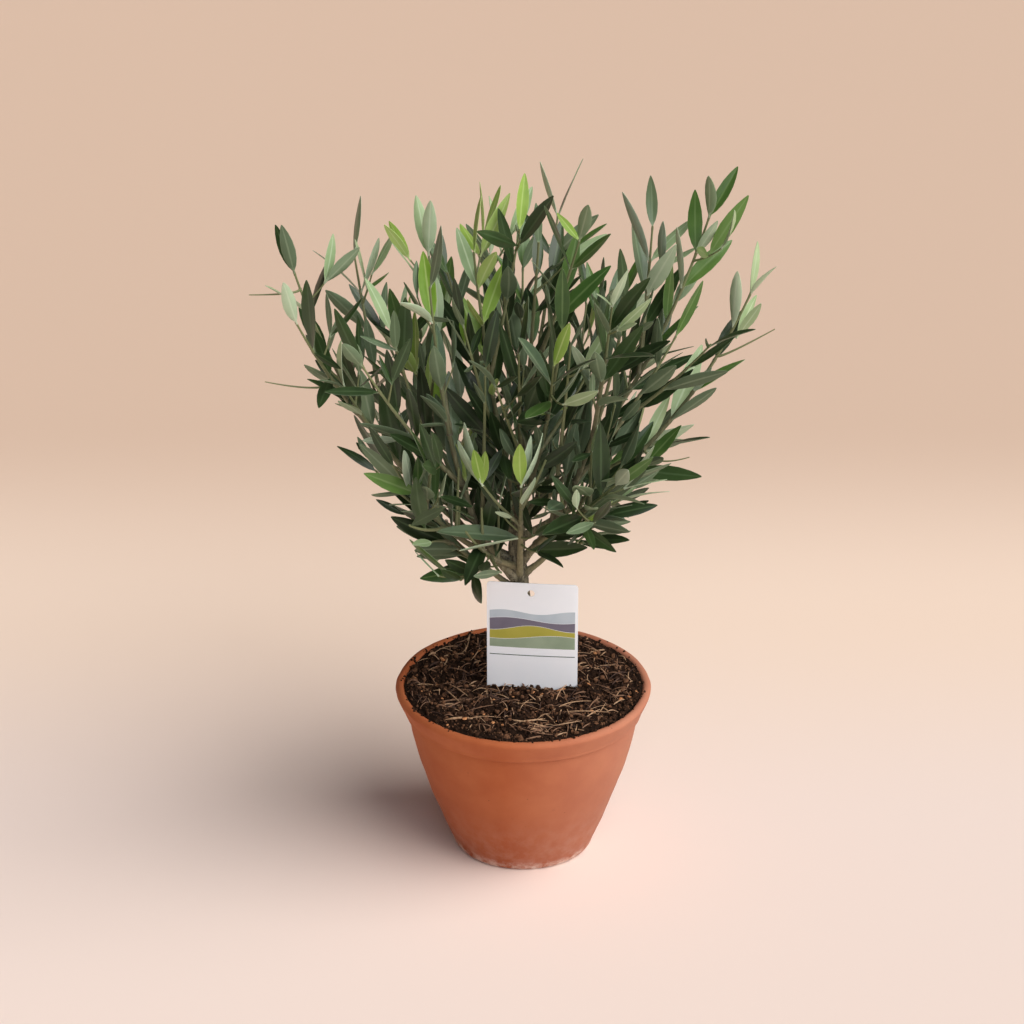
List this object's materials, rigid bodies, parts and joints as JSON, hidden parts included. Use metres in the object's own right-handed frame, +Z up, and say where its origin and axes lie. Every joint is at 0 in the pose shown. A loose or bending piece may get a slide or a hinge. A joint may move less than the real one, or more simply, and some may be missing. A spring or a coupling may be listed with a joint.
{
  "type": "potted olive tree",
  "caption": "Young olive grown as a bonsai, with an upswept open crown of narrow leaves, in a round tapering terracotta bowl of dark soil with an upright plant label.",
  "frame": {"origin": "centre of the bowl's flat underside", "axes": "+Z up the plant, the face of the plant label looks along -Y, +X to the right of it"},
  "size_m": [0.3727, 0.2947, 0.5534],
  "materials": {
    "terracotta": "matte",
    "potting_soil": "matte",
    "label_card": "satin",
    "bark": "matte",
    "leaf_dark": "satin",
    "leaf_mid": "satin",
    "leaf_olive": "matte"
  },
  "bodies": {
    "root": {"bowl": "terracotta", "soil": "potting_soil", "plant_label": "label_card", "trunk": "bark", "bough_top": "bark", "bough_left": "bark", "bough_outer_left": "bark", "bough_right": "bark", "bough_far_right": "bark", "bough_upper_right": "bark", "bough_centre_left": "bark", "bough_centre_front": "bark", "bough_front": "bark", "bough_front_left": "bark", "bough_front_right": "bark", "bough_mid_left": "bark", "bough_low_left": "bark", "bough_low_right": "bark", "bough_low_front": "bark", "bough_back_left": "bark", "bough_back_right": "bark", "bough_back": "bark", "bough_low_back": "bark", "bough_low_back_left": "bark", "bough_low_back_right": "bark", "foliage_top": "leaf_dark", "foliage_left": "leaf_mid", "foliage_outer_left": "leaf_olive", "foliage_right": "leaf_dark", "foliage_far_right": "leaf_mid", "foliage_upper_right": "leaf_olive", "foliage_centre_left": "leaf_dark", "foliage_centre_front": "leaf_mid", "foliage_front": "leaf_olive", "foliage_front_left": "leaf_dark", "foliage_front_right": "leaf_mid", "foliage_mid_left": "leaf_olive", "foliage_low_left": "leaf_dark", "foliage_low_right": "leaf_mid", "foliage_low_front": "leaf_olive", "foliage_back_left": "leaf_dark", "foliage_back_right": "leaf_mid", "foliage_back": "leaf_olive", "foliage_low_back": "leaf_dark", "foliage_low_back_left": "leaf_mid", "foliage_low_back_right": "leaf_olive"}
  },
  "joints": []
}
